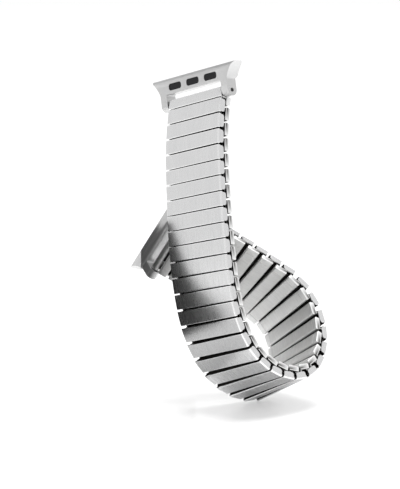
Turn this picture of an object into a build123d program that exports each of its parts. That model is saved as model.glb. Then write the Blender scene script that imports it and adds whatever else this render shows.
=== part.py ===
from build123d import *
import os

# Expansion watch band: two rows of sleeves, half a link out of step, tied by staples.
# Millimetres and degrees. Each link is drawn in its own frame, with its origin at its upper joint,
# on the middle line between the two rows. In that frame +X runs across the band to its near edge,
# +Y runs in towards the wrist and +Z runs up along the band. The curl is a chain of those frames.
# The free end's adapter is at the world origin, and +Z is up as the band stands in the photograph.

# Band
band_width = 17.2
pitch = 3.33
row_gap = 0.32

# Cover of the outer row: a channel with turned-down side flanges
cover_height = 1.55
cover_wall = 0.3
cover_gap = 0.16
cover_round = 0.5
flange_round = 0.5
cover_edge = 0.08

# Sleeve under a cover
sleeve_wall = 0.2
sleeve_inset = 0.03
sleeve_round = 0.12

# Sleeve of the inner row, with folded side ends
inner_height = 1.2
inner_gap = 0.42
inner_round = 0.3

# Staples: round wire bent to a U
wire_diameter = 0.4
wire_corner = 0.3
arm_length = 3.2
arm_pitch_offset = 0.85
arm_depth = 0.8
staple_side_gap = 0.06

# Stretch of the front run: the wire starts nearer the middle and slides out in the inner sleeve
stretch_links = 14
stretch_travel = 0.62
stretch_end_gap = 0.045

# Leaf springs
leaf_thickness = 0.1
leaf_width = 2.0
leaf_length = 11.4
leaf_rise = 0.03

# End links
end_cover_length = 2.2
barrel_diameter = 1.9
barrel_width = 17.2
bar_height = 1.46
bar_depth = -0.46

# Spring bars
bar_diameter = 1.5
bar_tip_diameter = 0.8
bar_tip_length = 1.2
bar_tip_clearance = 0.04
bar_running_gap = 0.05
bar_end_gap = 0.1
bar_wall = 0.2
bar_shoulder_length = 1.2
bar_coil_wire = 0.2
bar_coil_pitch = 0.6
bar_coil_gap = 0.05

# Adapters
adapter_length = 26.9
adapter_waist = 21.6
rail_height = 3.5
rail_depth = 3.2
rail_bevel = 0.6
rail_back_round = 0.9
rail_above_bar = 2.4
adapter_front = -1.76
horn_gap = 17.7
horn_radius = 1.3
horn_mouth_round = 0.4

# Inserts in the adapters' windows
window_count = 3
window_width = 4.05
window_height = 1.5
window_spacing = 5.76
window_depth = 0.6
window_round = 0.6
insert_gap = 0.02
insert_recess = 0.05

# Overrun of every cut
overrun = 0.5

# Lean of the adapters on their spring bars, near the free end and at the far end
adapter_lean = 17
far_adapter_lean = 55

# Stance in the photograph, and the curl as runs of equal joints from the free end: number of joints,
# bend towards the wrist, twist about the band's length, swing in its plane, stretch of the link above.
stance_roll = -16.2
stance_lean = -22.6
first_bend = 1.5
open_stretch = 0.14
curl_shares = (
    (3, 3.0, 0.25, 0.2, 0),
    (6, 0.9, 0.4, 0.15, 0),
    (3, 2.4, 0, -0.2, 0),
    (1, 4.8, -0.2, -0.6, 0),
    (1, 7.1, -0.1, -0.7, 0),
    (1, 9.6, 0.2, -0.7, 0),
    (1, 12.4, 0.9, -0.7, 0),
    (3, 12.6, 1.7, -0.7, 0),
    (1, 16.6, 1.8, -0.6, 0),
    (2, 19.2, 1.9, 0.4, 0),
    (3, 14.4, 1.8, 0.7, 0),
    (1, 18.9, 1.4, 1.6, open_stretch),
    (1, 19.4, -2, 1.6, open_stretch),
    (1, 16, -2.8, 1.6, open_stretch),
    (4, -1.2, -3.1, 1.6, open_stretch),
    (2, -1.2, -3.1, 0.3, open_stretch),
    (1, -1.2, -3.1, -1.5, open_stretch),
)

# Worked-out sizes
cover_length = pitch - cover_gap
cover_bottom = -row_gap / 2
cover_top = cover_bottom - cover_height
sleeve_length = cover_length - 2 * sleeve_inset
sleeve_top = cover_top + cover_wall
sleeve_height = cover_height - cover_wall
sleeve_middle = cover_bottom - sleeve_height / 2
inner_length = pitch - inner_gap
inner_middle = row_gap / 2 + inner_height / 2
inner_floor = row_gap / 2 + inner_height
wire_radius = wire_diameter / 2
stretch_arm_end = inner_length / 2 - sleeve_wall - wire_radius - stretch_end_gap
stretch_arm_start = stretch_arm_end - stretch_travel
flange_inside = band_width / 2 - cover_wall
back_place = flange_inside - staple_side_gap - wire_radius
sleeve_half = back_place - wire_radius - staple_side_gap
slot_width = flange_inside - sleeve_half
slot_middle = sleeve_half + slot_width / 2
leaf_touch = row_gap / 2 + sleeve_wall
bar_place = Pos(0, bar_depth, bar_height)
horn_gap_half = horn_gap / 2
horn_outside = adapter_waist / 2


def bar_along_width(height, length, radius):
    """A solid bar across the band: its section is height by length with rounded edges."""
    section = Rectangle(height, length)
    section = fillet(section.vertices(), radius)
    return Plane.YZ * section


def tube_across(width, height, length, wall, radius):
    outside = extrude(bar_along_width(height, length, radius), width / 2, both=True)
    inside = Box(width + overrun, height - 2 * wall, length - 2 * wall)
    return outside - inside


def make_cover(length):
    """The channel of one cover, with its middle at the origin along the band."""
    section = Pos(0, (cover_top + cover_bottom) / 2) * Rectangle(band_width, cover_height)
    top_corners = section.vertices().sort_by(Axis.Y)[:2]
    section = fillet(top_corners, cover_round)
    hollow_width = band_width - 2 * cover_wall
    hollow_height = sleeve_height + overrun
    hollow = Pos(0, sleeve_top + hollow_height / 2) * Rectangle(hollow_width, hollow_height)
    channel = extrude(section - hollow, length / 2, both=True)
    lower_edges = channel.edges().filter_by(Axis.X).group_by(Axis.Y)[-1]
    channel = fillet(lower_edges, min(flange_round, length / 4))
    top_edges = channel.edges().filter_by(Axis.X).group_by(Axis.Y)[0]
    return fillet(top_edges, cover_edge)


def make_leaf(thickness, rise, side):
    """A bowed strip: it touches the sleeve's row-side wall at its middle; side is -1 or 1."""
    half = leaf_length / 2
    near = side * leaf_touch
    far = side * (leaf_touch + thickness)
    low = ThreePointArc((-half, near + side * rise), (0, near), (half, near + side * rise))
    high = ThreePointArc((-half, far + side * rise), (0, far), (half, far + side * rise))
    ends = [Line(low @ 0, high @ 0), Line(low @ 1, high @ 1)]
    return extrude(make_face([low, high] + ends), leaf_width / 2, both=True)


def make_staple(outer_z, inner_z):
    """One staple on the near side: an arm in each row, and the back that joins them."""
    arm_end = back_place - arm_length
    points = (
        (arm_end, -arm_depth, outer_z),
        (back_place, -arm_depth, outer_z),
        (back_place, arm_depth, inner_z),
        (arm_end, arm_depth, inner_z),
    )
    path = FilletPolyline(*points, radius=wire_corner)
    section = Plane(origin=points[0], z_dir=(1, 0, 0)) * Circle(wire_radius)
    return sweep(section, path)


def both_sides(solid):
    return [solid, mirror(solid, Plane.YZ)]


def make_inner_sleeve(above, below):
    """The inner row's sleeve, above and below the joint line, with slots for the staples' backs."""
    length = above + below
    middle = (above - below) / 2
    bar = extrude(bar_along_width(inner_height, length, inner_round), band_width / 2, both=True)
    hollow = Box(2 * flange_inside, inner_height - 2 * sleeve_wall, length - 2 * sleeve_wall)
    bar = bar - hollow
    slot_height = sleeve_wall + overrun
    slot = Box(slot_width, slot_height, length - 2 * sleeve_wall)
    slot_place = -inner_height / 2 + sleeve_wall - slot_height / 2
    for side in (-1, 1):
        bar = bar - Pos(side * slot_middle, slot_place, 0) * slot
    return Pos(0, inner_middle, middle) * bar


def make_barrel(bore):
    """The end link's barrel round the spring bar, with its middle on the bar's axis."""
    ring = Circle(barrel_diameter / 2) - Circle(bore / 2)
    return extrude(Plane.YZ * ring, barrel_width / 2, both=True)


def make_end_link():
    """The short link between the horns: cover, barrel and short inner sleeve in one folded piece."""
    bore = bar_diameter + 2 * bar_running_gap
    cover = Pos(0, 0, end_cover_length / 2 + cover_gap / 2) * make_cover(end_cover_length)
    barrel = bar_place * make_barrel(bore)
    above = bar_height - barrel_diameter / 2
    below = inner_length / 2
    floor = make_inner_sleeve(above, below)
    web_low = bar_height - barrel_diameter / 2 - sleeve_wall
    web_height = inner_floor - sleeve_wall / 2 - cover_top - cover_wall / 2
    web_middle = (inner_floor - sleeve_wall / 2 + cover_top + cover_wall / 2) / 2
    web = Pos(0, web_middle, web_low) * Box(band_width - 2 * cover_wall, web_height, 2 * sleeve_wall)
    bar_way = extrude(Plane.YZ * Circle(bore / 2), band_width, both=True)
    body = cover + web + barrel + floor
    return body - bar_place * bar_way


def make_spring_bar():
    """Tube, two stepped tips and the coil between them, along X on the bar's axis."""
    tube_half = horn_gap_half - bar_end_gap
    tip_radius = bar_tip_diameter / 2
    tube_bore = bar_diameter / 2 - bar_wall
    tube = extrude(Plane.YZ * (Circle(bar_diameter / 2) - Circle(tube_bore)), tube_half, both=True)
    shoulder_radius = tube_bore - bar_coil_gap
    tip_start = tube_half - bar_shoulder_length
    tip_end = horn_gap_half + bar_tip_length
    tip_long = tip_end - tip_start
    tip = Pos(tip_start + tip_long / 2, 0, 0) * Rot(0, 90, 0) * Cylinder(tip_radius, tip_long)
    shoulder_place = Pos(tip_start + bar_shoulder_length / 2, 0, 0) * Rot(0, 90, 0)
    shoulder_body = Cylinder(shoulder_radius, bar_shoulder_length - 2 * bar_coil_gap)
    shoulder = shoulder_place * shoulder_body
    tip = tip + shoulder
    coil_radius = tube_bore - bar_coil_gap - bar_coil_wire / 2
    coil_long = 2 * (tip_start - bar_coil_gap - bar_coil_wire)
    coil_path = Helix(bar_coil_pitch, coil_long, coil_radius)
    coil_start = Plane(origin=coil_path @ 0, z_dir=coil_path % 0)
    coil = sweep(coil_start * Circle(bar_coil_wire / 2), coil_path)
    coil = Rot(0, 90, 0) * Pos(0, 0, -coil_long / 2) * coil
    return [tube, coil] + both_sides(tip)


def make_adapter():
    """Rail, waist and two horns, with the bar's axis at the origin and the rail above it."""
    rail_low = rail_above_bar
    rail_top = rail_above_bar + rail_height
    half = adapter_length / 2
    horn_low = -horn_radius
    curve_share_x = 0.3
    curve_share_z = 0.45
    curve_x = horn_outside + curve_share_x * (half - horn_outside)
    curve_z = rail_low + curve_share_z * rail_height
    right_curve = ThreePointArc((half, rail_top), (curve_x, curve_z), (horn_outside, rail_low))
    right_side = Line((horn_outside, rail_low), (horn_outside, horn_low))
    base = Line((horn_outside, horn_low), (-horn_outside, horn_low))
    left_side = Line((-horn_outside, horn_low), (-horn_outside, rail_low))
    left_curve = ThreePointArc((-horn_outside, rail_low), (-curve_x, curve_z), (-half, rail_top))
    top = Line((-half, rail_top), (half, rail_top))
    front_view = make_face([right_curve, right_side, base, left_side, left_curve, top])
    mouth_height = rail_low - horn_low + overrun
    mouth_shape = Pos(0, rail_low - mouth_height / 2) * Rectangle(horn_gap, mouth_height)
    mouth_corners = mouth_shape.vertices().sort_by(Axis.Y)[-2:]
    front_view = front_view - fillet(mouth_corners, horn_mouth_round)
    horn_front = adapter_front - bar_depth
    rail_back = horn_front + rail_depth
    deep = Pos(0, (horn_front + rail_back) / 2, 0)
    body = deep * extrude(Plane.XZ * front_view, rail_depth / 2, both=True)
    side_rail = Pos((horn_front + rail_back) / 2, (rail_low + rail_top) / 2)
    side_view = side_rail * Rectangle(rail_depth, rail_height)
    back_corners = side_view.vertices().sort_by(Axis.X)[-2:]
    side_view = fillet(back_corners, rail_back_round)
    front_top = side_view.vertices().sort_by(Axis.X)[:2].sort_by(Axis.Y)[-1]
    side_view = chamfer(front_top, rail_bevel)
    horn_middle = horn_front + horn_radius
    neck = Pos(horn_middle, rail_low / 2) * Rectangle(2 * horn_radius, rail_low + rail_bevel)
    horn_end = Pos(horn_middle, 0) * Circle(horn_radius)
    side_view = side_view + neck + horn_end
    body = body & extrude(Plane.YZ * side_view, adapter_length, both=True)
    hole_radius = bar_tip_diameter / 2 + bar_tip_clearance
    hole = extrude(Plane.YZ * Circle(hole_radius), adapter_length, both=True)
    body = body - hole
    for place in window_places():
        body = body - place * window_block(window_width, window_height, window_depth, window_round)
    return body


def window_places():
    """Where each window's face middle lies, in the adapter's frame."""
    level = rail_above_bar + (rail_height - rail_bevel) / 2
    front = adapter_front - bar_depth
    first = -(window_count - 1) / 2
    return [Pos((first + n) * window_spacing, front, level) for n in range(window_count)]


def window_block(width, height, depth, radius):
    """A rounded block that goes in from the front face to the given depth."""
    face = fillet(Rectangle(width, height).vertices(), radius)
    block = extrude(Plane.XZ * face, depth + overrun, both=True)
    keep = Pos(0, (depth - overrun) / 2, 0) * Box(2 * width, depth + overrun, 2 * height)
    return block & keep


def make_inserts():
    thick = window_depth - insert_gap
    face = fillet(
        Rectangle(window_width - 2 * insert_gap, window_height - 2 * insert_gap).vertices(),
        window_round - insert_gap,
    )
    tile = extrude(Plane.XZ * face, (thick - insert_recess) / 2, both=True)
    back = Pos(0, insert_recess + (thick - insert_recess) / 2, 0)
    return [place * back * tile for place in window_places()]


def place_all(frame, solids):
    return [frame * solid for solid in solids]


def save(name, solids):
    group = Compound(label=name, children=list(solids))
    export_step(group, f"parts/{name}.step")


# One solid of each kind, in the link's own frame
half_link = Pos(0, 0, -pitch / 2)
cover = half_link * make_cover(cover_length)
sleeve_body = tube_across(2 * sleeve_half, sleeve_height, sleeve_length, sleeve_wall, sleeve_round)
sleeve = half_link * Pos(0, sleeve_middle, 0) * sleeve_body
outer_leaf = half_link * make_leaf(leaf_thickness, leaf_rise, -1)
inner_sleeve = make_inner_sleeve(inner_length / 2, inner_length / 2)
inner_leaf = make_leaf(leaf_thickness, leaf_rise, 1)
upper_staples = both_sides(make_staple(arm_pitch_offset, arm_pitch_offset))
sliding_staples = both_sides(make_staple(arm_pitch_offset, stretch_arm_start))
lower_staples = both_sides(make_staple(-arm_pitch_offset, -arm_pitch_offset))

# The chain of frames, from the free end's adapter
stance = Rot(0, stance_roll, 0) * Rot(stance_lean, 0, 0)
rail_middle_z = rail_above_bar + rail_height / 2
rail_middle_y = adapter_front - bar_depth + rail_depth / 2
lean_out = Rot(adapter_lean, 0, 0)
adapter_frame = stance * lean_out * Pos(0, -rail_middle_y, -rail_middle_z)
bar_frame = adapter_frame * Rot(-adapter_lean, 0, 0)
end_frame = bar_frame * Pos(0, -bar_depth, -bar_height)
to_pin = Pos(0, arm_depth, -arm_pitch_offset)
from_pin = Pos(0, -arm_depth, arm_pitch_offset)
link_frames = []
inner_frames = []
pin_frames = []
joint_turns = [(first_bend, 0, 0, 0)]
for count, bend, twist, swing, stretch in curl_shares:
    joint_turns += [(bend, twist, swing, stretch)] * count
joint_frame = end_frame
for number, (bend, twist, swing, stretch) in enumerate(joint_turns):
    joint_frame = joint_frame * Pos(0, 0, -stretch)
    inner_frame = joint_frame
    if number > 0:
        inner_frame = joint_frame * Rot(0, 0, twist / 2) * Rot(0, swing / 2, 0)
    last = number == len(joint_turns) - 1
    pin = to_pin
    unpin = from_pin
    if last:
        inner_frame = joint_frame
        pin = Pos(0, arm_depth, arm_pitch_offset)
        unpin = Pos(0, -arm_depth, -arm_pitch_offset)
    pin_frame = inner_frame * pin
    turned = pin_frame * Rot(bend, 0, 0) * unpin
    inner_frames.append(inner_frame)
    pin_frames.append((pin_frame, turned))
    if last:
        far_end_frame = turned
    else:
        link_frame = turned * Rot(0, swing / 2, 0) * Rot(0, 0, twist / 2)
        link_frames.append(link_frame)
        joint_frame = link_frame * Pos(0, 0, -pitch)
link_count = len(link_frames)
flip = Rot(0, 180, 0)
far_bar_frame = far_end_frame * flip * Pos(0, bar_depth, bar_height)
far_adapter_frame = far_bar_frame * Rot(far_adapter_lean, 0, 0)

os.makedirs("parts", exist_ok=True)

adapter = make_adapter()
inserts = make_inserts()
spring_bar = make_spring_bar()
end_link = make_end_link()
save("adapter_free_end", [adapter_frame * adapter])
save("inserts_free_end", place_all(adapter_frame, inserts))
save("spring_bar_free_end", place_all(adapter_frame, spring_bar))
save("end_link_free_end", [end_frame * end_link, end_frame * inner_leaf])

for index, link_frame in enumerate(link_frames):
    number = index + 1
    solids = place_all(link_frame, [cover, sleeve, outer_leaf])
    solids += place_all(pin_frames[index][1], lower_staples)
    next_inner = inner_frames[number]
    inner_solids = place_all(next_inner, [inner_sleeve, inner_leaf])
    if number <= stretch_links:
        solids += place_all(next_inner, sliding_staples)
        save(f"inner_sleeve_{number:02d}", inner_solids)
    elif number < link_count:
        solids += place_all(next_inner, upper_staples)
        solids += inner_solids
    else:
        solids += place_all(next_inner, upper_staples)
    save(f"link_{number:02d}", solids)

save("end_link_watch_end", place_all(far_end_frame * flip, [end_link, inner_leaf]))
save("adapter_watch_end", [far_adapter_frame * adapter])
save("inserts_watch_end", place_all(far_adapter_frame, inserts))
save("spring_bar_watch_end", place_all(far_adapter_frame, spring_bar))

print("links", link_count, "band length", round(link_count * pitch + 2 * end_cover_length, 1))
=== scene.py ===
import math

import bmesh
import bpy
from mathutils import Euler, Matrix, Vector


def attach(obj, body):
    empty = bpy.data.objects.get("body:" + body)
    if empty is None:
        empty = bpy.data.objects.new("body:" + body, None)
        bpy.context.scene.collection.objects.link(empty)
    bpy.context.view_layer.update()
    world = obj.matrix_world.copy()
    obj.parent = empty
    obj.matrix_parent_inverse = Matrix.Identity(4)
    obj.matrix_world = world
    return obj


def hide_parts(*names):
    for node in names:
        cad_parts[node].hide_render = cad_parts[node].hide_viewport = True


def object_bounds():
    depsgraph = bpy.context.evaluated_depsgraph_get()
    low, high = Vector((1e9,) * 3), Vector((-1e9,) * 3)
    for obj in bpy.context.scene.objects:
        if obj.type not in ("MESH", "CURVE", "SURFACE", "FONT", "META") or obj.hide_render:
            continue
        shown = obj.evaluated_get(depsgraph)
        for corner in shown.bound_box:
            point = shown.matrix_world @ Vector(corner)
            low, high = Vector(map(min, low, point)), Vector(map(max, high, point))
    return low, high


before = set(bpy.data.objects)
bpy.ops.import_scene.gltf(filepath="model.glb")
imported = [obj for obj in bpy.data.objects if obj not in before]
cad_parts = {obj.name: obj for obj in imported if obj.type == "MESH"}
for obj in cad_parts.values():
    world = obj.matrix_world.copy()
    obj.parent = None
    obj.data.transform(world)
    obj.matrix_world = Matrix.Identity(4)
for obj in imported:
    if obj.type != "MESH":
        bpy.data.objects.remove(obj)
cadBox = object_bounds()
mm = 0.001
mmInMetre = 1000.0
print("frame: the packed band is loaded,", len(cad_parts), "nodes")

# Frames of the band, in mm. In a link's own frame +X runs to the near edge, +Y in to the wrist
# and +Z up the band.

stance = {"roll": -16.2, "lean": -22.6, "firstBend": 1.5}  # degrees

bandSizes = {
    "width": 17.2,
    "pitch": 3.33,
    "armDepth": 0.8,
    "armOffset": 0.85,
    "stretchLinks": 14,
}

openStretch = 0.14

curlRuns = (  # how many joints, then each one's bend to the wrist, twist, swing and stretch
    (3, 3.0, 0.25, 0.2, 0),
    (6, 0.9, 0.4, 0.15, 0),
    (3, 2.4, 0, -0.2, 0),
    (1, 4.8, -0.2, -0.6, 0),
    (1, 7.1, -0.1, -0.7, 0),
    (1, 9.6, 0.2, -0.7, 0),
    (1, 12.4, 0.9, -0.7, 0),
    (3, 12.6, 1.7, -0.7, 0),
    (1, 16.6, 1.8, -0.6, 0),
    (2, 19.2, 1.9, 0.4, 0),
    (3, 14.4, 1.8, 0.7, 0),
    (1, 18.9, 1.4, 1.6, openStretch),
    (1, 19.4, -2, 1.6, openStretch),
    (1, 16, -2.8, 1.6, openStretch),
    (4, -1.2, -3.1, 1.6, openStretch),
    (2, -1.2, -3.1, 0.3, openStretch),
    (1, -1.2, -3.1, -1.5, openStretch),
)

barPlace = {
    "front": -1.3,
    "railLow": 2.4,
    "railHeight": 3.5,
    "railDepth": 3.2,
    "lean": 17,
    "barHeight": 1.46,
    "barDepth": -0.46,
}


def turned(x, y, z):
    return Euler((math.radians(x), math.radians(y), math.radians(z)), "XYZ").to_matrix().to_4x4()


def moved(x, y, z):
    return Matrix.Translation((x, y, z))


def walkBand():
    a = barPlace
    s = bandSizes
    rail = turned(0, stance["roll"], 0) @ turned(stance["lean"] + a["lean"], 0, 0)
    toBar = moved(0, -(a["front"] + a["railDepth"] / 2), -(a["railLow"] + a["railHeight"] / 2))
    bar = rail @ toBar @ turned(-a["lean"], 0, 0)
    end = bar @ moved(0, -a["barDepth"], -a["barHeight"])
    joints = [(stance["firstBend"], 0, 0, 0)]
    for count, bend, twist, swing, stretch in curlRuns:
        joints += [(bend, twist, swing, stretch)] * count
    joint = end
    links, inners, pins = [], [], []
    for number, (bend, twist, swing, stretch) in enumerate(joints):
        last = number == len(joints) - 1
        joint = joint @ moved(0, 0, -stretch)
        inner = joint
        if 0 < number and not last:
            inner = joint @ turned(0, 0, twist / 2) @ turned(0, swing / 2, 0)
        side = -1 if last else 1
        pin = inner @ moved(0, s["armDepth"], -side * s["armOffset"]) @ turned(bend, 0, 0)
        pin = pin @ moved(0, -s["armDepth"], side * s["armOffset"])
        inners.append(inner)
        pins.append(pin)
        if not last:
            link = pin @ turned(0, swing / 2, 0) @ turned(0, 0, twist / 2)
            links.append(link)
            joint = link @ moved(0, 0, -s["pitch"])
    farEnd = pins[-1] @ turned(0, 180, 0)
    return {"end": end, "links": links, "inners": inners, "pins": pins, "farEnd": farEnd}


band = walkBand()
linkCount = len(band["links"])
print("band:", linkCount, "links in a row")


# Shader groups that several finishes share. Their densities are per metre, like the places they read.

def newShaderGroup(name, inputs, outputs):
    group = bpy.data.node_groups.new(name, "ShaderNodeTree")
    for label, kind, value in inputs:
        socket = group.interface.new_socket(name=label, in_out="INPUT", socket_type=kind)
        if value is not None:
            socket.default_value = value
    for label, kind in outputs:
        group.interface.new_socket(name=label, in_out="OUTPUT", socket_type=kind)
    return group, group.nodes.new("NodeGroupInput"), group.nodes.new("NodeGroupOutput")


def addMath(tree, operation, a, b, clamp=False):
    node = tree.nodes.new("ShaderNodeMath")
    node.operation = operation
    node.use_clamp = clamp
    for socket, value in zip(node.inputs, (a, b)):
        if isinstance(value, (int, float)):
            socket.default_value = value
        else:
            tree.links.new(value, socket)
    return node.outputs[0]


def addVectorMath(tree, operation, a, b):
    node = tree.nodes.new("ShaderNodeVectorMath")
    node.operation = operation
    for socket, value in zip(node.inputs, (a, b)):
        if isinstance(value, tuple):
            socket.default_value = value
        else:
            tree.links.new(value, socket)
    return node.outputs[0]


def addNoise(tree, vector, detail, roughness=0.6):
    noise = tree.nodes.new("ShaderNodeTexNoise")
    noise.inputs["Scale"].default_value = 1
    noise.inputs["Detail"].default_value = detail
    noise.inputs["Roughness"].default_value = roughness
    tree.links.new(vector, noise.inputs["Vector"])
    return noise.outputs["Fac"]


def addRange(tree, value, low, high, newLow, newHigh):
    node = tree.nodes.new("ShaderNodeMapRange")
    for label, number in zip(("From Min", "From Max", "To Min", "To Max"), (low, high, newLow, newHigh)):
        if isinstance(number, (int, float)):
            node.inputs[label].default_value = number
        else:
            tree.links.new(number, node.inputs[label])
    tree.links.new(value, node.inputs["Value"])
    return node.outputs[0]


brushingShape = {
    "seedShifts": (0.37, 0.91),
    "fineDetail": 3.0,
    "fineRough": 0.7,
    "fineShare": 0.8,
    "broadDensity": (900.0, 900.0, 120.0),
    "broadDetail": 2.0,
    "broadShare": 0.2,
    "cloudDensity": (220.0, 220.0, 260.0),
    "cloudDetail": 3.0,
    "darkest": 0.3,
    "lightest": 0.7,
}


def makeBrushing():
    b = brushingShape
    inputs = [
        ("Place", "NodeSocketVector", None),
        ("Seed", "NodeSocketFloat", 0.0),
        ("Lines per mm", "NodeSocketFloat", 12.0),
        ("Length mm", "NodeSocketFloat", 4.0),
    ]
    outputs = [("Lines", "NodeSocketFloat"), ("Cloud", "NodeSocketFloat")]
    tree, start, end = newShaderGroup("brushing", inputs, outputs)
    shiftBySeed = tree.nodes.new("ShaderNodeCombineXYZ")
    for label, share in zip(("X", "Z"), b["seedShifts"]):
        tree.links.new(addMath(tree, "MULTIPLY", start.outputs["Seed"], share), shiftBySeed.inputs[label])
    place = addVectorMath(tree, "ADD", start.outputs["Place"], shiftBySeed.outputs[0])
    density = tree.nodes.new("ShaderNodeCombineXYZ")
    across = addMath(tree, "MULTIPLY", start.outputs["Lines per mm"], mmInMetre)
    along = addMath(tree, "DIVIDE", mmInMetre, start.outputs["Length mm"])
    tree.links.new(across, density.inputs["X"])
    tree.links.new(across, density.inputs["Y"])
    tree.links.new(along, density.inputs["Z"])
    finePlace = addVectorMath(tree, "MULTIPLY", place, density.outputs[0])
    fine = addNoise(tree, finePlace, b["fineDetail"], b["fineRough"])
    fine = addMath(tree, "MULTIPLY", fine, b["fineShare"])
    broadPlace = addVectorMath(tree, "MULTIPLY", place, b["broadDensity"])
    broad = addNoise(tree, broadPlace, b["broadDetail"])
    broad = addMath(tree, "MULTIPLY", broad, b["broadShare"])
    both = addMath(tree, "ADD", fine, broad)
    tree.links.new(addRange(tree, both, b["darkest"], b["lightest"], 0.0, 1.0), end.inputs["Lines"])
    cloud = addNoise(tree, addVectorMath(tree, "MULTIPLY", place, b["cloudDensity"]), b["cloudDetail"])
    tree.links.new(addRange(tree, cloud, b["darkest"], b["lightest"], 0.0, 1.0), end.inputs["Cloud"])
    return tree


wearShape = {
    "density": (2600.0, 2600.0, 2600.0),
    "detail": 3.0,
    "darkest": 0.3,
    "lightest": 0.6,
    "leastWorn": 0.55,
}


def makeWearAndHighlight():
    w = wearShape
    inputs = [
        ("Edge", "NodeSocketFloat", 0.0),
        ("Place", "NodeSocketVector", None),
        ("Amount", "NodeSocketFloat", 1.0),
    ]
    tree, start, end = newShaderGroup("edge wear", inputs, [("Worn", "NodeSocketFloat")])
    spotPlace = addVectorMath(tree, "MULTIPLY", start.outputs["Place"], w["density"])
    spots = addNoise(tree, spotPlace, w["detail"])
    broken = addRange(tree, spots, w["darkest"], w["lightest"], w["leastWorn"], 1.0)
    worn = addMath(tree, "MULTIPLY", start.outputs["Edge"], broken)
    tree.links.new(addMath(tree, "MULTIPLY", worn, start.outputs["Amount"], True), end.inputs["Worn"])
    return tree


grainShape = {
    "detail": 2.0,
    "rough": 0.5,
    "cloudDensity": (180.0, 180.0, 180.0),
    "cloudDetail": 3.0,
    "darkest": 0.3,
    "lightest": 0.7,
    "roughSpread": 0.04,
}


def makeGrain():
    g = grainShape
    inputs = [("Place", "NodeSocketVector", None), ("Grains per mm", "NodeSocketFloat", 8.0)]
    outputs = [("Grain", "NodeSocketFloat"), ("Cloud", "NodeSocketFloat")]
    tree, start, end = newShaderGroup("blasted grain", inputs, outputs)
    density = addMath(tree, "MULTIPLY", start.outputs["Grains per mm"], mmInMetre)
    scaled = tree.nodes.new("ShaderNodeVectorMath")
    scaled.operation = "SCALE"
    tree.links.new(start.outputs["Place"], scaled.inputs[0])
    tree.links.new(density, scaled.inputs["Scale"])
    tree.links.new(addNoise(tree, scaled.outputs[0], g["detail"], g["rough"]), end.inputs["Grain"])
    cloudPlace = addVectorMath(tree, "MULTIPLY", start.outputs["Place"], g["cloudDensity"])
    tree.links.new(addNoise(tree, cloudPlace, g["cloudDetail"]), end.inputs["Cloud"])
    return tree


brushing = makeBrushing()
edgeWearAndHighlight = makeWearAndHighlight()
blastedGrain = makeGrain()


def placeGroup(tree, group, values, wires):
    node = tree.nodes.new("ShaderNodeGroup")
    node.node_tree = group
    for label, value in values.items():
        node.inputs[label].default_value = value
    for label, socket in wires.items():
        tree.links.new(socket, node.inputs[label])
    return node


def newMaterial(name, settings):
    material = bpy.data.materials.new(name)
    material.use_nodes = True
    tree = material.node_tree
    shader = tree.nodes["Principled BSDF"]
    for label, value in settings.items():
        shader.inputs[label].default_value = value
    return material, tree, shader


def readAttribute(tree, name, output):
    node = tree.nodes.new("ShaderNodeAttribute")
    node.attribute_name = name
    return node.outputs[output]


def mixColours(tree, factor, low, high):
    node = tree.nodes.new("ShaderNodeMix")
    node.data_type = "RGBA"
    tree.links.new(factor, node.inputs[0])
    for socket, value in ((node.inputs[6], low), (node.inputs[7], high)):
        if isinstance(value, tuple):
            socket.default_value = (*value, 1.0)
        else:
            tree.links.new(value, socket)
    return node.outputs[2]


def addBump(tree, shader, height, depth, strength):
    bump = tree.nodes.new("ShaderNodeBump")
    bump.inputs["Distance"].default_value = depth * mm
    bump.inputs["Strength"].default_value = strength
    tree.links.new(height, bump.inputs["Height"])
    tree.links.new(bump.outputs[0], shader.inputs["Normal"])


def brushedSteel(name, look):
    material, tree, shader = newMaterial(name, {"Metallic": 1.0})
    local = readAttribute(tree, "local", "Vector")
    seed = readAttribute(tree, "seed", "Fac")
    edge = readAttribute(tree, "edge", "Fac")
    density = {"Lines per mm": look["lines"], "Length mm": look["length"]}
    lines = placeGroup(tree, brushing, density, {"Place": local, "Seed": seed})
    worn = placeGroup(tree, edgeWearAndHighlight, {"Amount": look["wear"]}, {"Edge": edge, "Place": local})
    steel = mixColours(tree, lines.outputs["Lines"], look["dark"], look["light"])
    clouded = addMath(tree, "MULTIPLY", lines.outputs["Cloud"], look["cloud"])
    steel = mixColours(tree, clouded, steel, look["dark"])
    steel = mixColours(tree, worn.outputs["Worn"], steel, look["bare"])
    # painted shade: the deep mask turns hollows, end walls and faces between parts near black, where little
    # light reaches
    deep = readAttribute(tree, "deep", "Fac")
    tree.links.new(mixColours(tree, deep, steel, look["hollowShade"]), shader.inputs["Base Color"])
    rough = addRange(tree, lines.outputs["Lines"], 0.0, 1.0, look["roughest"], look["smoothest"])
    polished = addMath(tree, "MULTIPLY", worn.outputs["Worn"], -look["polish"])
    dulled = addMath(tree, "MULTIPLY", deep, look["dulling"])
    rough = addMath(tree, "ADD", addMath(tree, "ADD", rough, polished), dulled, True)
    tree.links.new(rough, shader.inputs["Roughness"])
    addBump(tree, shader, lines.outputs["Lines"], look["depth"], look["relief"])
    return material


coverLook = {
    "lines": 14.0,
    "length": 5.0,
    "dark": (0.61, 0.61, 0.615),
    "light": (0.73, 0.73, 0.73),
    "bare": (0.93, 0.93, 0.93),
    "cloud": 0.25,
    "wear": 1.0,
    "roughest": 0.31,
    "smoothest": 0.24,
    "polish": 0.05,
    "hollowShade": (0.02, 0.02, 0.02),
    "dulling": 0.3,
    "depth": 0.008,
    "relief": 0.2,
}

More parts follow.
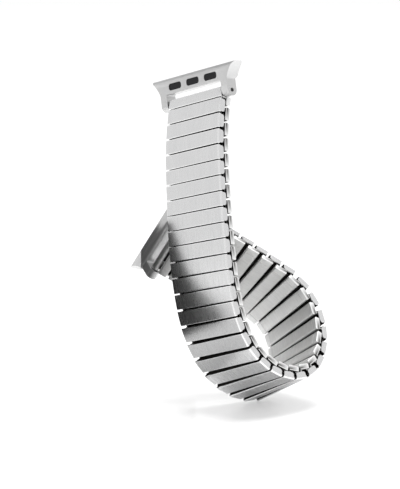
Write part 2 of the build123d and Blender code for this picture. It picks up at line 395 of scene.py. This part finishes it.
rowLook = {
    "lines": 10.0,
    "length": 2.0,
    "dark": (0.66, 0.66, 0.655),
    "light": (0.80, 0.80, 0.79),
    "bare": (0.86, 0.86, 0.86),
    "cloud": 0.35,
    "wear": 1.0,
    "roughest": 0.58,
    "smoothest": 0.46,
    "polish": 0.08,
    "hollowShade": (0.03, 0.028, 0.026),
    "dulling": 0.3,
    "depth": 0.008,
    "relief": 0.3,
}

wireLook = {
    "lines": 9.0,
    "length": 0.5,
    "dark": (0.42, 0.42, 0.42),
    "light": (0.60, 0.60, 0.60),
    "bare": (0.7, 0.7, 0.7),
    "cloud": 0.4,
    "wear": 0.0,
    "roughest": 0.34,
    "smoothest": 0.22,
    "polish": 0.0,
    "hollowShade": (0.05, 0.05, 0.05),
    "dulling": 0.2,
    "depth": 0.005,
    "relief": 0.2,
}

coverSteel = brushedSteel("cover steel", coverLook)
rowSteel = brushedSteel("inner row steel", rowLook)
wireSteel = brushedSteel("spring wire", wireLook)

adapterLook = {
    "metal": 0.9,
    "gloss": 0.5,
    "dark": (0.5, 0.5, 0.5),
    "light": (0.6, 0.6, 0.6),
    "rough": 0.42,
    "grains": 9.0,
    "depth": 0.01,
    "relief": 0.3,
}

insertLook = {
    "metal": 0.0,
    "gloss": 0.15,
    "dark": (0.006, 0.006, 0.007),
    "light": (0.018, 0.018, 0.019),
    "rough": 0.42,
    "grains": 14.0,
    "depth": 0.01,
    "relief": 0.35,
}

barLook = {
    "metal": 1.0,
    "gloss": 0.5,
    "dark": (0.08, 0.08, 0.08),
    "light": (0.15, 0.15, 0.15),
    "rough": 0.28,
    "grains": 5.0,
    "depth": 0.006,
    "relief": 0.25,
}


def blasted(name, look):
    g = grainShape
    settings = {"Metallic": look["metal"], "Specular IOR Level": look["gloss"]}
    material, tree, shader = newMaterial(name, settings)
    coordinates = tree.nodes.new("ShaderNodeTexCoord").outputs["Object"]
    grain = placeGroup(tree, blastedGrain, {"Grains per mm": look["grains"]}, {"Place": coordinates})
    colour = mixColours(tree, grain.outputs["Grain"], look["dark"], look["light"])
    tree.links.new(colour, shader.inputs["Base Color"])
    smoother, rougher = look["rough"] - g["roughSpread"], look["rough"] + g["roughSpread"]
    rough = addRange(tree, grain.outputs["Cloud"], g["darkest"], g["lightest"], smoother, rougher)
    tree.links.new(rough, shader.inputs["Roughness"])
    addBump(tree, shader, grain.outputs["Grain"], look["depth"], look["relief"])
    return material


adapterMetal = blasted("blasted adapter", adapterLook)
insertBlack = blasted("black insert", insertLook)
barSteel = blasted("turned bar", barLook)
print("finishes: six materials on three shader groups")


# Solid pieces of a link and of an end link, drawn once in mm in the link's frame

def finishPiece(name, mesh, material):
    piece = bpy.data.objects.new(name, mesh)
    bpy.context.scene.collection.objects.link(piece)
    mesh.materials.clear()
    mesh.materials.append(material)
    return piece


def joinRings(name, rings, wrapped, material):
    mesh = bmesh.new()
    rows = [[mesh.verts.new(point) for point in ring] for ring in rings]
    pairs = list(zip(rows, rows[1:] + rows[:1])) if wrapped else list(zip(rows, rows[1:]))
    for near, far in pairs:
        for k in range(len(near)):
            mesh.faces.new((near[k], near[k - 1], far[k - 1], far[k]))
    if not wrapped:
        mesh.faces.new(rows[0])
        mesh.faces.new(rows[-1][::-1])
    bmesh.ops.recalc_face_normals(mesh, faces=mesh.faces)
    data = bpy.data.meshes.new(name)
    mesh.to_mesh(data)
    mesh.free()
    return finishPiece(name, data, material)


def roundedLoop(halfHigh, halfLong, radius, steps=4):
    loop = []
    for turnNumber, (y, z) in enumerate(((1, 1), (-1, 1), (-1, -1), (1, -1))):
        for k in range(steps + 1):
            angle = math.pi / 2 * (turnNumber + k / steps)
            high = y * (halfHigh - radius) + radius * math.cos(angle)
            loop.append((high, z * (halfLong - radius) + radius * math.sin(angle)))
    return loop


coverShape = {
    "width": bandSizes["width"],
    "top": -1.71,
    "bottom": -0.16,
    "length": 3.17,
    "wall": 0.3,
    "cornerRound": 0.4,
    "flangeRound": 0.5,
    "flangeInset": 0.17,
    "flangeStep": 0.3,
    "rim": 0.08,
    "crown": 0.02,
    "brightRim": 0.12,
    "rimAngles": (30, 60, 90),
    "insideEase": 0.03,
    "footShares": (0, 0.1, 0.3, 0.55, 0.8, 1),
    "stepShares": (1, 0.66, 0.33),
    "cornerSteps": 7,
}


def coverPath(c):
    half = c["width"] / 2
    r = c["cornerRound"]
    path = []
    for share in c["footShares"]:
        path.append((-half, c["bottom"] - share * c["flangeRound"], 1, 0))
    for share in c["stepShares"]:
        path.append((-half, c["top"] + r + share * c["flangeStep"], 1, 0))
    for k in range(c["cornerSteps"] + 1):
        a = math.pi / 2 * k / c["cornerSteps"]
        x, y = -half + r - r * math.cos(a), c["top"] + r - r * math.sin(a)
        path.append((x, y, math.cos(a), math.sin(a)))
    path.append((-half / 3, c["top"], 0, 1))
    return path + [(-x, y, -nx, ny) for x, y, nx, ny in path[::-1]]


def makeCover(name, length):
    c = coverShape
    r = c["rim"]
    ease = c["insideEase"]
    turns = [math.radians(angle) for angle in c["rimAngles"]]
    rings = []
    for x, y, inX, inY in coverPath(c):
        drop = max(0, c["flangeRound"] - (c["bottom"] - y))
        inset = c["flangeInset"] * min(1, max(0, (y - c["top"] - c["cornerRound"]) / c["flangeStep"]))
        half = length / 2 - inset - c["flangeRound"] + math.sqrt(c["flangeRound"] ** 2 - drop**2)
        upper = [half * 0.5, half - r - c["brightRim"], half - r]
        outer = [-z for z in upper[::-1]] + [0] + upper
        profile = [(z, c["crown"] * (z / half) ** 2 * inY) for z in outer]
        for a in turns:
            profile.append((half - r + r * math.sin(a), r * (1 - math.cos(a)) + c["crown"] * inY))
        profile += [(half, c["wall"] - ease), (half - ease, c["wall"])]
        profile += [(-half + ease, c["wall"]), (-half, c["wall"] - ease)]
        for a in turns[::-1]:
            profile.append((-half + r - r * math.sin(a), r * (1 - math.cos(a)) + c["crown"] * inY))
        rings.append([(x + inX * depth, y + inY * depth, z) for z, depth in profile])
    return joinRings(name, rings, False, coverSteel)


outerTube = {
    "halfWide": 7.78,
    "halfHigh": 0.625,
    "halfLong": 1.555,
    "wall": 0.2,
    "round": 0.12,
    "innerRoundShare": 0.4,
    "middle": -0.785,
}


def makeTube(name):
    t = outerTube
    outer = roundedLoop(t["halfHigh"], t["halfLong"], t["round"])
    innerRound = t["round"] * t["innerRoundShare"]
    inner = roundedLoop(t["halfHigh"] - t["wall"], t["halfLong"] - t["wall"], innerRound)
    rings = []
    for sign, loop in ((-1, outer), (1, outer), (1, inner), (-1, inner)):
        rings.append([(sign * t["halfWide"], t["middle"] + y, z) for y, z in loop])
    return joinRings(name, rings, True, rowSteel)


rowShape = {
    "width": bandSizes["width"],
    "low": 0.16,
    "high": 1.36,
    "length": 2.91,
    "round": 0.3,
    "wall": 0.2,
    "flange": 0.3,
    "endRound": 0.1,
    "endAngles": (25, 50, 75, 90),
    "seam": 1.4,
    "seamWide": 0.09,
    "seamDeep": 0.07,
    "slotFrom": 7.78,
    "slotTo": 8.3,
    "leastRound": 0.05,
    "roundSteps": 5,
    "deepEnd": 0.1,
    "deepHigh": 0.5,
    "deepFoot": 0.05,
}


def evaluatedMesh(piece):
    return bpy.data.meshes.new_from_object(piece.evaluated_get(bpy.context.evaluated_depsgraph_get()))


def applyModifiers(piece, helpers=()):
    mesh = evaluatedMesh(piece)
    piece.modifiers.clear()
    piece.data = mesh
    for helper in helpers:
        bpy.data.objects.remove(helper)
    return piece


def cutWith(piece, cutters):
    for cutter in cutters:
        cut = piece.modifiers.new("cut", "BOOLEAN")
        cut.operation = "DIFFERENCE"
        cut.solver = "EXACT"
        cut.object = cutter
    return applyModifiers(piece, cutters)


def makeBlock(name, low, high):
    mesh = bmesh.new()
    bmesh.ops.create_cube(mesh, size=1)
    for vertex in mesh.verts:
        vertex.co = [(a + b) / 2 + (b - a) * v for a, b, v in zip(low, high, vertex.co)]
    data = bpy.data.meshes.new(name)
    mesh.to_mesh(data)
    mesh.free()
    return finishPiece(name, data, rowSteel)


def makeRowSleeve(name, above, below):
    r = rowShape
    half = r["width"] / 2
    halfHigh = (r["high"] - r["low"]) / 2
    halfLong = (above + below) / 2
    middle = (above - below) / 2
    centre = (r["high"] + r["low"]) / 2
    stops = [(half, r["endRound"])]
    for angle in r["endAngles"]:
        a = math.radians(angle)
        stops.append((half - r["endRound"] * (1 - math.cos(a)), r["endRound"] * (1 - math.sin(a))))
    seam = half - r["seam"]
    s = r["seamWide"] / 2
    for share, depth in ((1, 0), (0.5, r["seamDeep"]), (-0.5, r["seamDeep"]), (-1, 0)):
        stops.append((seam + s * share, depth))
    stops.append((half / 3, 0))
    rings = []
    for x, inset in stops + [(-x, inset) for x, inset in stops[::-1]]:
        cornerRound = max(r["round"] - inset, r["leastRound"])
        loop = roundedLoop(halfHigh - inset, halfLong - inset, cornerRound, r["roundSteps"])
        rings.append([(x, centre + y, middle + z) for y, z in loop])
    sleeve = joinRings(name, rings, False, rowSteel)
    w = r["wall"]
    hollowSide = half - r["flange"]
    floor, ceiling = r["low"] + w, r["high"] - w
    hollow = makeBlock("hollow", (-hollowSide, floor, -below + w), (hollowSide, ceiling, above - w))
    slots = []
    for side in (-1, 1):
        start, stop = sorted((side * r["slotFrom"], side * r["slotTo"]))
        lowCorner, highCorner = (start, r["low"] - w, -below + w), (stop, r["low"] + w * 1.5, above - w)
        slots.append(makeBlock("slot", lowCorner, highCorner))
    return cutWith(sleeve, [hollow] + slots)


leafShape = {"touch": 0.36, "thick": 0.1, "rise": 0.03, "width": 2.0, "length": 11.4, "steps": 16}


def makeLeaf(name, side, z):
    c = leafShape
    rings = []
    for k in range(c["steps"] + 1):
        x = c["length"] * (k / c["steps"] - 0.5)
        near = c["touch"] + c["rise"] * (2 * x / c["length"]) ** 2
        far = near + c["thick"]
        low, high = z - c["width"] / 2, z + c["width"] / 2
        corners = ((near, low), (near, high), (far, high), (far, low))
        rings.append([(x, side * depth, height) for depth, height in corners])
    return joinRings(name, rings, False, wireSteel)


# Geometry Nodes: the bent wire of a pair of staples, and the tree that sets pieces in their places

def newTree(name, inputs):
    tree = bpy.data.node_groups.new(name, "GeometryNodeTree")
    tree.interface.new_socket(name="Geometry", in_out="INPUT", socket_type="NodeSocketGeometry")
    for label, kind in inputs:
        tree.interface.new_socket(name=label, in_out="INPUT", socket_type=kind)
    tree.interface.new_socket(name="Geometry", in_out="OUTPUT", socket_type="NodeSocketGeometry")
    return tree, tree.nodes.new("NodeGroupInput"), tree.nodes.new("NodeGroupOutput")


def addNode(tree, kind, settings=None, wires=None, values=None):
    node = tree.nodes.new(kind)
    for label, value in (settings or {}).items():
        setattr(node, label, value)
    for label, socket in (wires or {}).items():
        tree.links.new(socket, node.inputs[label])
    for label, value in (values or {}).items():
        node.inputs[label].default_value = value
    return node


def finishTree(tree, geometry, finish, end):
    whole = addNode(tree, "GeometryNodeRealizeInstances", wires={0: geometry}).outputs[0]
    painted = addNode(tree, "GeometryNodeSetMaterial", wires={"Geometry": whole, "Material": finish})
    tree.links.new(painted.outputs[0], end.inputs[0])


wireSteps = {"corner": 5, "round": 10}


def makeStapleTree():
    labels = ("Reach", "Arm", "Depth", "Outer height", "Inner height", "Wire", "Corner")
    inputs = [(label, "NodeSocketFloat") for label in labels] + [("Finish", "NodeSocketMaterial")]
    tree, start, end = newTree("staple pair", inputs)
    get = start.outputs
    armEnd = addMath(tree, "SUBTRACT", get["Reach"], get["Arm"])
    outerY = addMath(tree, "MULTIPLY", get["Depth"], -1.0)
    corners = []
    for x, y, z in (
        (armEnd, outerY, get["Outer height"]),
        (get["Reach"], outerY, get["Outer height"]),
        (get["Reach"], get["Depth"], get["Inner height"]),
        (armEnd, get["Depth"], get["Inner height"]),
    ):
        corners.append(addNode(tree, "ShaderNodeCombineXYZ", wires={"X": x, "Y": y, "Z": z}).outputs[0])
    wires = {f"Point {number + 1}": corner for number, corner in enumerate(corners)}
    outline = addNode(tree, "GeometryNodeCurvePrimitiveQuadrilateral", {"mode": "POINTS"}, wires).outputs[0]
    opened = addNode(
        tree, "GeometryNodeSetSplineCyclic",
        wires={"Geometry": outline},
        values={"Cyclic": False},
    ).outputs[0]
    rounded = addNode(
        tree, "GeometryNodeFilletCurve",
        settings={"mode": "POLY"},
        wires={"Curve": opened, "Radius": get["Corner"]},
        values={"Count": wireSteps["corner"]},
    ).outputs[0]
    mirrored = addNode(
        tree, "GeometryNodeTransform",
        wires={"Geometry": rounded},
        values={"Scale": (-1, 1, 1)},
    ).outputs[0]
    pair = tree.nodes.new("GeometryNodeJoinGeometry")
    tree.links.new(rounded, pair.inputs[0])
    tree.links.new(mirrored, pair.inputs[0])
    circle = addNode(
        tree, "GeometryNodeCurvePrimitiveCircle",
        wires={"Radius": addMath(tree, "MULTIPLY", get["Wire"], 0.5)},
        values={"Resolution": wireSteps["round"]},
    ).outputs[0]
    swept = addNode(
        tree, "GeometryNodeCurveToMesh",
        wires={"Curve": pair.outputs[0], "Profile Curve": circle},
        values={"Fill Caps": True},
    ).outputs[0]
    finishTree(tree, swept, get["Finish"], end)
    return tree


def makeSettingTree():
    inputs = [("Kit", "NodeSocketCollection"), ("Finish", "NodeSocketMaterial")]
    tree, start, end = newTree("pieces in place", inputs)
    kit = addNode(
        tree, "GeometryNodeCollectionInfo",
        wires={"Collection": start.outputs["Kit"]},
        values={"Separate Children": True, "Reset Children": True},
    )
    named = "GeometryNodeInputNamedAttribute"
    which = addNode(tree, named, {"data_type": "INT"}, values={"Name": "piece"})
    facing = addNode(tree, named, {"data_type": "FLOAT_VECTOR"}, values={"Name": "facing"})
    rotation = addNode(tree, "FunctionNodeEulerToRotation", wires={0: facing.outputs[0]})
    placed = addNode(
        tree, "GeometryNodeInstanceOnPoints",
        wires={
            "Points": start.outputs["Geometry"],
            "Instance": kit.outputs[0],
            "Instance Index": which.outputs[0],
            "Rotation": rotation.outputs[0],
        },
        values={"Pick Instance": True},
    )
    finishTree(tree, placed.outputs[0], start.outputs["Finish"], end)
    return tree


def runTree(tree, piece, inputs):
    modifier = piece.modifiers.new("build", "NODES")
    modifier.node_group = tree
    sockets = {item.name: item.identifier for item in tree.interface.items_tree if item.in_out == "INPUT"}
    for label, value in inputs.items():
        modifier[sockets[label]] = value
    mesh = evaluatedMesh(piece)
    piece.modifiers.clear()
    return mesh


stapleTree = makeStapleTree()
settingTree = makeSettingTree()

wireShape = {"Reach": 8.04, "Arm": 3.2, "Depth": bandSizes["armDepth"], "Wire": 0.4, "Corner": 0.3}
armOffset = bandSizes["armOffset"]
stapleHeights = {  # of the arms in the outer and in the inner row
    "lower": (-armOffset, -armOffset),
    "upper": (armOffset, armOffset),
    "sliding": (armOffset, 0.39),
}


def makeStaples(name, heights):
    seed = finishPiece(name, bpy.data.meshes.new(name), wireSteel)
    inputs = dict(wireShape)
    inputs["Outer height"], inputs["Inner height"] = heights
    inputs["Finish"] = wireSteel
    seed.data = runTree(stapleTree, seed, inputs)
    return seed


# Kits: each finish's pieces in metres, with their own place, their worn edges (on the covers' rounded corners
# partly a painted highlight) and painted shade in their hollows as attributes

def addAttributes(mesh, kinds):
    for label, kind in kinds.items():
        mesh.attributes.new(label, kind, "POINT")
    return [mesh.attributes[label] for label in kinds]  # read again: adding one moves the others


sharpFrom = 32  # degrees between faces


def markPiece(piece, edgeOf, deepOf, lift=0):
    mesh = piece.data
    mesh.shade_smooth()
    mesh.set_sharp_from_angle(angle=math.radians(sharpFrom))
    local, edge, deep = addAttributes(mesh, {"local": "FLOAT_VECTOR", "edge": "FLOAT", "deep": "FLOAT"})
    for k, vertex in enumerate(mesh.vertices):
        local.data[k].vector = vertex.co * mm
        edge.data[k].value = edgeOf(vertex.co)
        deep.data[k].value = deepOf(vertex.co)
    mesh.transform(Matrix.Diagonal((mm, mm, mm, 1)) @ moved(0, 0, lift))
    return piece


# rims and flange feet are worn lighter; the lighter strip on the rounded top corner is partly wear and partly
# a painted highlight
coverWearAndHighlight = {"rim": 1.0, "corner": 0.32, "foot": 0.8, "footHigh": 0.04, "closeBy": 0.01}


def coverEdges(length):
    c = coverShape
    w = coverWearAndHighlight

    def edgeOf(point):
        x, y, z = point
        if abs(z) > length / 2 - c["rim"] - w["closeBy"]:
            return w["rim"]
        if y > c["bottom"] - w["footHigh"]:
            return w["foot"]
        # painted highlight, partly wear: a lighter strip along the rounded corner
        onCorner = abs(x) > c["width"] / 2 - c["cornerRound"] and y < c["top"] + c["cornerRound"]
        return w["corner"] if onCorner and abs(x) < c["width"] / 2 - 2 * w["closeBy"] else 0

    return edgeOf


coverSkin = {"inside": 0.02, "side": 0.04, "top": 0.06}  # how near the surface still counts as on it


# marks the cover's inside for painted shade
def coverDepths(point):
    c = coverShape
    x, y, z = point
    fromSide = c["width"] / 2 - c["wall"] + coverSkin["inside"]
    inSide = abs(x) < fromSide and y > c["top"] + c["wall"] - coverSkin["inside"]
    return 1 if inSide and not onOutside(x, y) else 0


def onOutside(x, y):
    c = coverShape
    r = c["cornerRound"]
    fromX = abs(x) - (c["width"] / 2 - r)
    fromY = (c["top"] + r) - y
    if fromX > 0 and fromY > 0:
        return math.hypot(fromX, fromY) > r - coverSkin["side"]
    return abs(x) > c["width"] / 2 - coverSkin["side"] or y < c["top"] + coverSkin["top"]


# marks the sleeve's end walls and foot for painted shade
def sleeveDepths(point):
    r = rowShape
    x, y, z = point
    atEndWall = abs(z) > r["length"] / 2 - r["deepEnd"]
    return 1 if (atEndWall and y < r["high"] - r["deepHigh"]) or y < r["low"] + r["deepFoot"] else 0


# marks the whole piece for painted shade
def allDeep(point):
    return 1


rowWear = {"end": 0.9, "flange": 0.35, "closeBy": 0.02}


def rowEdges(point):
    fromEnd = rowShape["width"] / 2 - abs(point[0])
    if fromEnd < rowWear["closeBy"]:
        return rowWear["end"]
    return rowWear["flange"] if fromEnd < rowShape["seam"] else 0


def noEdges(point):
    return 0


def makeKit(name, pieces):
    kit = bpy.data.collections.new(name)
    for piece in pieces:
        bpy.context.scene.collection.objects.unlink(piece)
        kit.objects.link(piece)
    order = sorted(piece.name for piece in pieces)
    return {"collection": kit, "order": order}


endShape = {
    "length": 2.2,
    "gap": 0.16,
    "barrel": 1.9,
    "bore": 1.6,
    "bevel": 0.08,
    "facets": 40,
    "floorWall": 0.4,
    "webUnderTop": 0.15,
    "webUnderRow": 0.1,
    "overrun": 0.02,
}


def makeBarrel(name):
    e = endShape
    half = coverShape["width"] / 2
    outside = e["barrel"] / 2
    profile = [(half - e["bevel"], outside), (half, outside - e["bevel"]), (half, e["bore"] / 2)]
    profile = [(-x, radius) for x, radius in profile] + [(x, radius) for x, radius in profile[::-1]]
    deep, high = barPlace["barDepth"], barPlace["barHeight"]
    rings = []
    for k in range(e["facets"]):
        a = 2 * math.pi * k / e["facets"]
        rings.append([(x, deep + r * math.cos(a), high + r * math.sin(a)) for x, r in profile])
    return joinRings(name, rings, True, rowSteel)


def uniteWith(piece, others):
    for other in others:
        add = piece.modifiers.new("add", "BOOLEAN")
        add.operation = "UNION"
        add.solver = "EXACT"
        add.object = other
    return applyModifiers(piece, others)


def makeEndCore(name):
    e = endShape
    low = barPlace["barHeight"] - e["barrel"] / 2
    floor = makeRowSleeve(name, low, rowShape["length"] / 2)
    side = coverShape["width"] / 2 - coverShape["wall"]
    lowCorner = (-side, coverShape["top"] + e["webUnderTop"], low - e["floorWall"])
    web = makeBlock("web", lowCorner, (side, rowShape["high"] - e["webUnderRow"], low + e["overrun"]))
    return uniteWith(floor, [web, makeBarrel("barrel")])


halfPitch = bandSizes["pitch"] / 2
endMiddle = (endShape["length"] + endShape["gap"]) / 2

coverPlans = (
    ("a cover", coverShape["length"], -halfPitch),
    ("b end cover", endShape["length"], endMiddle),
)
coverPieces = []
for name, length, lift in coverPlans:
    coverPieces.append(markPiece(makeCover(name, length), coverEdges(length), coverDepths, lift))
coverKit = makeKit("covers", coverPieces)

halfRow = rowShape["length"] / 2
tube = markPiece(makeTube("a outer sleeve"), noEdges, allDeep, -halfPitch)
sleeve = makeRowSleeve("b inner sleeve", halfRow, halfRow)
markPiece(sleeve, rowEdges, sleeveDepths)
core = markPiece(makeEndCore("c end core"), rowEdges, noEdges)
rowKit = makeKit("row pieces", [tube, sleeve, core])

wires = []
for name, side, height in (("a outer leaf", -1, -halfPitch), ("b inner leaf", 1, 0)):
    wires.append(markPiece(makeLeaf(name, side, height), noEdges, allDeep))
for kind, heights in stapleHeights.items():
    wires.append(markPiece(makeStaples(f"{kind} staples", heights), noEdges, noEdges))
wireKit = makeKit("wires", wires)
print("kits: cover, sleeve and wire pieces drawn")


# Setting: one object for each body and finish

kits = {
    "cover": (coverKit, coverSteel, "covers"),
    "row": (rowKit, rowSteel, "inner_row"),
    "wire": (wireKit, wireSteel, "spring_bar"),
}


def setPieces(kind, body, placings):
    kit, finish, slot = kits[kind]
    mesh = bpy.data.meshes.new("points")
    mesh.from_pydata([place.translation * mm for label, place in placings], [], [])
    facing, which, seed = addAttributes(mesh, {"facing": "FLOAT_VECTOR", "piece": "INT", "seed": "FLOAT"})
    for k, (label, place) in enumerate(placings):
        facing.data[k].vector = place.to_euler()
        which.data[k].value = kit["order"].index(label)
        seed.data[k].value = seedOf(body, k)
    piece = finishPiece(f"{body}_{kind}", mesh, finish)
    piece.data = runTree(settingTree, piece, {"Kit": kit["collection"], "Finish": finish})
    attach(piece, body)
    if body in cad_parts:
        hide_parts(body)
    return piece


seedSteps = {"letter": 0.618, "piece": 0.37, "first": 3, "spread": 20}


def seedOf(body, k):
    s = seedSteps
    letters = sum(ord(letter) * (place + s["first"]) for place, letter in enumerate(body))
    return (letters * s["letter"] + k * s["piece"]) % 1.0 * s["spread"]


for number in range(1, linkCount + 1):
    body = f"link_{number:02d}"
    link = band["links"][number - 1]
    following = band["inners"][number]
    ownRow = [("a outer sleeve", link)]
    ownWires = [("a outer leaf", link), ("lower staples", band["pins"][number - 1])]
    slides = number <= bandSizes["stretchLinks"]
    ownWires.append(("sliding staples" if slides else "upper staples", following))
    if slides:
        setPieces("row", f"inner_sleeve_{number:02d}", [("b inner sleeve", following)])
        setPieces("wire", f"inner_sleeve_{number:02d}", [("b inner leaf", following)])
    elif number < linkCount:
        ownRow.append(("b inner sleeve", following))
        ownWires.append(("b inner leaf", following))
    setPieces("cover", body, [("a cover", link)])
    setPieces("row", body, ownRow)
    setPieces("wire", body, ownWires)

for body, place in (("end_link_free_end", band["end"]), ("end_link_watch_end", band["farEnd"])):
    setPieces("cover", body, [("b end cover", place)])
    setPieces("row", body, [("c end core", place)])
    setPieces("wire", body, [("b inner leaf", place)])
print("band: covers, sleeves and springs set on", linkCount, "links and two end links")


# Adapters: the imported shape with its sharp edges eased

adapterEase = {"width": 0.12, "steps": 2, "angle": 35, "weld": 0.002, "flat": 0.6, "sharpFrom": 25}


def easeAdapter(end):
    name = f"adapter_{end}"
    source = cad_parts[name]
    mesh = source.data.copy()
    work = bmesh.new()
    work.from_mesh(mesh)
    bmesh.ops.remove_doubles(work, verts=work.verts, dist=adapterEase["weld"] * mm)
    flat = math.radians(adapterEase["flat"])
    bmesh.ops.dissolve_limit(work, angle_limit=flat, verts=work.verts, edges=work.edges)
    work.to_mesh(mesh)
    work.free()
    piece = finishPiece(f"{name}_eased", mesh, adapterMetal)
    bevel = piece.modifiers.new("ease", "BEVEL")
    bevel.width = adapterEase["width"] * mm
    bevel.segments = adapterEase["steps"]
    bevel.limit_method = "ANGLE"
    bevel.angle_limit = math.radians(adapterEase["angle"])
    applyModifiers(piece)
    piece.data.shade_smooth()
    piece.data.set_sharp_from_angle(angle=math.radians(adapterEase["sharpFrom"]))
    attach(piece, name)
    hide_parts(name)


def paintNode(name, material):
    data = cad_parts[name].data
    data.materials.clear()
    data.materials.append(material)


for end in ("free_end", "watch_end"):
    easeAdapter(end)
    paintNode(f"inserts_{end}", insertBlack)
    paintNode(f"spring_bar_{end}", barSteel)
print("adapters: both eased and painted, with their inserts and spring bars")


# The stage: a pale floor, a white world, one lamp, cards and the camera at the photograph's angle

lowest = cadBox[0][2]
view = {
    "azimuth": 46.6,
    "elevation": 10.0,
    "distance": 900.0,
    "lens": 375.0,
    "sensor": 36,
    "reach": 50,
    "acrossOffset": -0.035,
    "upOffset": 29.998,
}


def cameraTurn():
    a = math.radians(view["azimuth"])
    e = math.radians(view["elevation"])
    across = Matrix(((1, 0, 0), (0, math.sin(e), -math.cos(e)), (0, math.cos(e), math.sin(e))))
    return (Matrix.Rotation(a, 3, "Z") @ across).to_4x4()


facingCamera = cameraTurn()
target = band["end"].translation - facingCamera @ Vector((view["acrossOffset"], view["upOffset"], 0))
camera = bpy.data.objects.new("camera", bpy.data.cameras.new("camera"))
camera.data.lens = view["lens"]
camera.data.sensor_width = view["sensor"]
camera.data.sensor_fit = "HORIZONTAL"
camera.data.clip_end = view["reach"]
standpoint = (target + facingCamera @ Vector((0, 0, view["distance"]))) * mm
camera.matrix_world = moved(*standpoint) @ facingCamera
bpy.context.scene.collection.objects.link(camera)
bpy.context.scene.camera = camera


def inView(right, up, back):
    return (target + facingCamera @ Vector((right, up, back))) * mm


floorLook = {"size": 6.0, "colour": 0.97, "glow": 1.0, "share": 0.4, "gloss": 0.5, "rough": 0.28}


def makeFloor():
    mesh = bpy.data.meshes.new("floor")
    s = floorLook["size"]
    mesh.from_pydata([(-s, -s, lowest), (s, -s, lowest), (s, s, lowest), (-s, s, lowest)], [], [(0, 1, 2, 3)])
    settings = {"Roughness": floorLook["rough"], "Specular IOR Level": floorLook["gloss"]}
    material, tree, shader = newMaterial("floor", settings)
    shader.inputs["Base Color"].default_value = (floorLook["colour"],) * 3 + (1.0,)
    glow = tree.nodes.new("ShaderNodeEmission")
    glow.inputs["Strength"].default_value = floorLook["glow"]
    mix = tree.nodes.new("ShaderNodeMixShader")
    rays = tree.nodes.new("ShaderNodeLightPath")
    factor = addMath(tree, "MULTIPLY", rays.outputs["Is Camera Ray"], floorLook["share"])
    tree.links.new(factor, mix.inputs[0])
    tree.links.new(shader.outputs[0], mix.inputs[1])
    tree.links.new(glow.outputs[0], mix.inputs[2])
    tree.links.new(mix.outputs[0], tree.nodes["Material Output"].inputs["Surface"])
    finishPiece("floor", mesh, material)


worldLook = {"fill": 0.8, "seen": 1.0}


def makeWorld():
    world = bpy.data.worlds.new("studio")
    bpy.context.scene.world = world
    world.use_nodes = True
    tree = world.node_tree
    background = tree.nodes["Background"]
    rays = tree.nodes.new("ShaderNodeLightPath")
    seen = addMath(tree, "MAXIMUM", rays.outputs["Is Camera Ray"], rays.outputs["Is Glossy Ray"])
    seen = addMath(tree, "MAXIMUM", seen, rays.outputs["Is Transmission Ray"])
    strength = addRange(tree, seen, 0.0, 1.0, worldLook["fill"], worldLook["seen"])
    tree.links.new(strength, background.inputs["Strength"])
    background.inputs["Color"].default_value = (1, 1, 1, 1)


lampLooks = {
    "key": {"from": (60, 600, 20), "size": 0.34, "power": 4.6},
}


def makeLamps():
    for name, look in lampLooks.items():
        lamp = bpy.data.lights.new(name, "AREA")
        lamp.size = look["size"]
        lamp.energy = look["power"]
        item = bpy.data.objects.new(name, lamp)
        place = inView(*look["from"])
        facing = (target * mm - place).to_track_quat("-Z", "Y").to_matrix().to_4x4()
        item.matrix_world = moved(*place) @ facing
        bpy.context.scene.collection.objects.link(item)


# Shapes that only the steel mirrors. Their corners are right, up and back in the camera's view, in mm,
# and a lift sets a card level, that far above the floor.

cards = {
    # painted reflection: a near-black card, mirrored by the steel as a dark reflection along the lower left
    # of the band
    "side_card": {
        "corners": (
            (-13, 5, -25),
            (-13, 5, 0),
            (-13, -6, 4.5),
            (-13, -14, 8.5),
            (-13, -22, 11.5),
            (-13, -25, 11.5),
            (-13, -25, -25),
        ),
        "tone": 0.05,
    },
    # painted shade: a grey card just above the floor, mirrored by the steel as the shaded floor near the band
    "low_card": {
        "corners": ((-150, -36, -14), (-150, -36, 32), (-1, -36, 30), (-1, -36, -14)),
        "tone": 0.48,
        "lift": 0.4,
    },
    "top_card": {
        "corners": ((-60, 75, -60), (60, 75, -60), (60, 75, 50), (-60, 75, 50)),
        "tone": 0.25,
    },
}


def makeCards():
    for name, look in cards.items():
        mesh = bpy.data.meshes.new(name)
        points = [inView(*corner) for corner in look["corners"]]
        if "lift" in look:
            points = [(point.x, point.y, lowest + look["lift"] * mm) for point in points]
        mesh.from_pydata(points, [], [range(len(points))])
        material, tree, shader = newMaterial(name, {"Roughness": 1.0, "Specular IOR Level": 0.0})
        shader.inputs["Base Color"].default_value = (look["tone"],) * 3 + (1.0,)
        card = finishPiece(name, mesh, material)
        card.visible_camera = False
        card.visible_shadow = False
        card.visible_diffuse = False


makeFloor()
makeWorld()
makeLamps()
makeCards()
bpy.context.scene.view_settings.view_transform = "Standard"
print("stage: floor, world, lamp, cards and camera in place")
